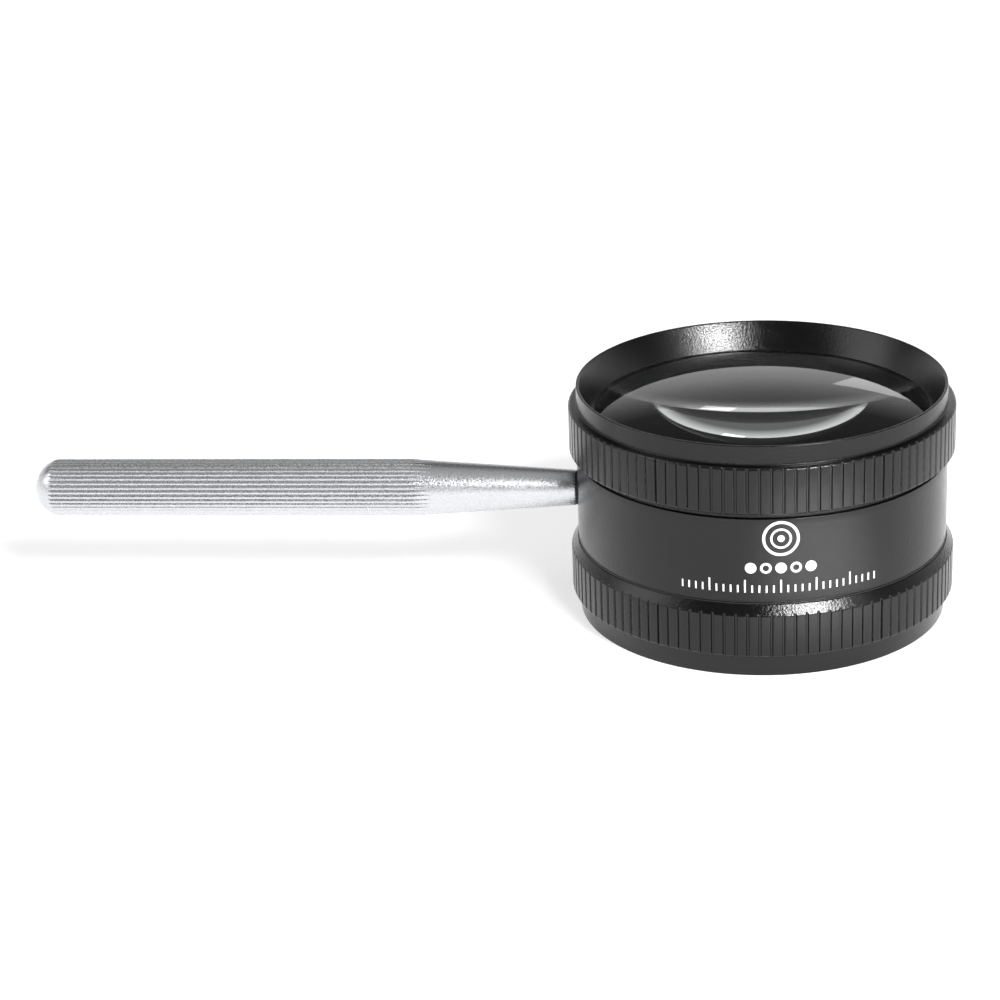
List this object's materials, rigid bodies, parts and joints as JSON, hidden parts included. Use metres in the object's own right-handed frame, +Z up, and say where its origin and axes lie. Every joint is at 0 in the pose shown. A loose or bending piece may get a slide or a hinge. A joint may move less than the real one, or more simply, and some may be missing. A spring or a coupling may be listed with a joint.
{
  "type": "viewing loupe",
  "caption": "Hand-held viewing loupe: short black tube with a domed lens at each end, knurled screw rings and a straight-knurled metal handle screwed into its side.",
  "frame": {"origin": "centre of the foot ring, on the plane that the loupe stands on", "axes": "+Z up along the optical axis, -X out along the handle"},
  "size_m": [0.1366, 0.056, 0.0345],
  "materials": {
    "black_anodised": "semi-gloss black anodised, fine bead-blasted grain",
    "matt_black": "matt black anodised, grooved",
    "optical_glass": "polished crown glass",
    "black_nylon": "moulded matt black nylon",
    "satin_aluminium": "bead-blasted satin, straight knurled grip",
    "zinc_plated_steel": "turned and zinc plated"
  },
  "bodies": {
    "barrel": {"barrel": "black_anodised", "spacer_tube": "matt_black", "upper_lens": "optical_glass", "lower_lens": "optical_glass"},
    "top_slip": {"upper_slip_ring": "black_nylon"},
    "top_ring": {"top_ring": "black_anodised"},
    "bottom_slip": {"lower_slip_ring": "black_nylon"},
    "bottom_ring": {"bottom_ring": "black_anodised"},
    "handle_seat": {"handle_washer": "black_nylon"},
    "handle": {"handle": "satin_aluminium", "handle_stud": "zinc_plated_steel"}
  },
  "joints": [
    {"name": "top_ring_travel", "type": "slide", "parent": "barrel", "child": "top_slip", "axis": [0, 0, 1], "range_m": [0, 0.0034]},
    {"name": "top_ring_screw", "type": "hinge", "parent": "top_slip", "child": "top_ring", "pos_m": [0, 0, 0.03], "axis": [0, 0, 1], "range_deg": [0, 1584]},
    {"name": "bottom_ring_travel", "type": "slide", "parent": "barrel", "child": "bottom_slip", "axis": [0, 0, -1], "range_m": [0, 0.0034]},
    {"name": "bottom_ring_screw", "type": "hinge", "parent": "bottom_slip", "child": "bottom_ring", "pos_m": [0, 0, 0.006], "axis": [0, 0, -1], "range_deg": [0, 1584]},
    {"name": "handle_travel", "type": "slide", "parent": "barrel", "child": "handle_seat", "axis": [-1, 0, 0], "range_m": [0, 0.0028]},
    {"name": "handle_screw", "type": "hinge", "parent": "handle_seat", "child": "handle", "pos_m": [-0.06, 0, 0.0177], "axis": [-1, 0, 0], "range_deg": [0, 1442]}
  ],
  "couplings": [
    {"joint": "top_ring_travel", "follows": "top_ring_screw", "m_per_rad": 0.00011937},
    {"joint": "bottom_ring_travel", "follows": "bottom_ring_screw", "m_per_rad": 0.00011937},
    {"joint": "handle_screw", "follows": "handle_travel", "rad_per_m": 8976}
  ]
}
